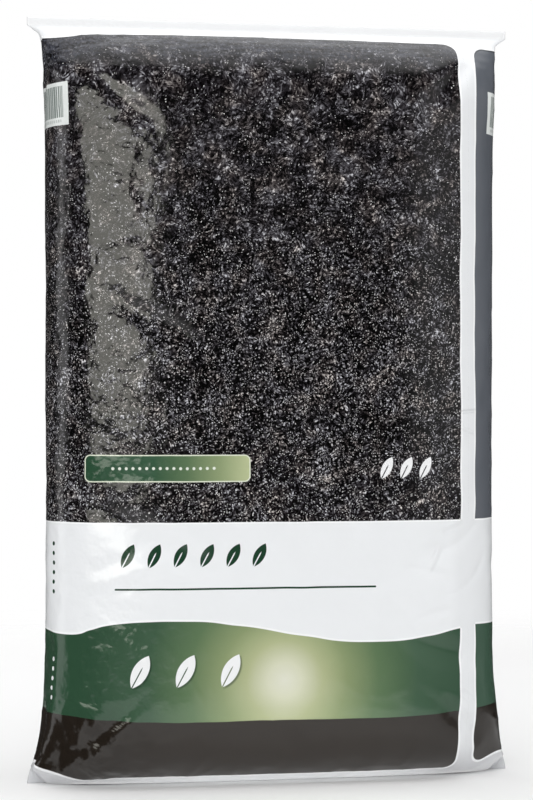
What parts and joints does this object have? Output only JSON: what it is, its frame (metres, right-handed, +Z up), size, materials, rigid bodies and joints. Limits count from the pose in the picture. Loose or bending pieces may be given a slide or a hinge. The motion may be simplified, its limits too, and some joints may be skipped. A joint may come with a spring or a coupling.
{
  "type": "compost bag",
  "caption": "Sealed film sack of garden compost, filled tight, standing upright on its bottom seal, with welded ends and drawn-in side gussets.",
  "frame": {"origin": "middle of the flat base that the sack stands on", "axes": "+Z up along the height, +X across the width to the viewer's right, -Y out of the printed front"},
  "size_m": [0.39, 0.1315, 0.6],
  "materials": {
    "printed_film": "Semi-gloss polyethylene film, white under a print of dark soil, a white band, a green band with a wavy top and a dark foot band"
  },
  "bodies": {
    "root": {"filled_sack": "printed_film"}
  },
  "joints": []
}
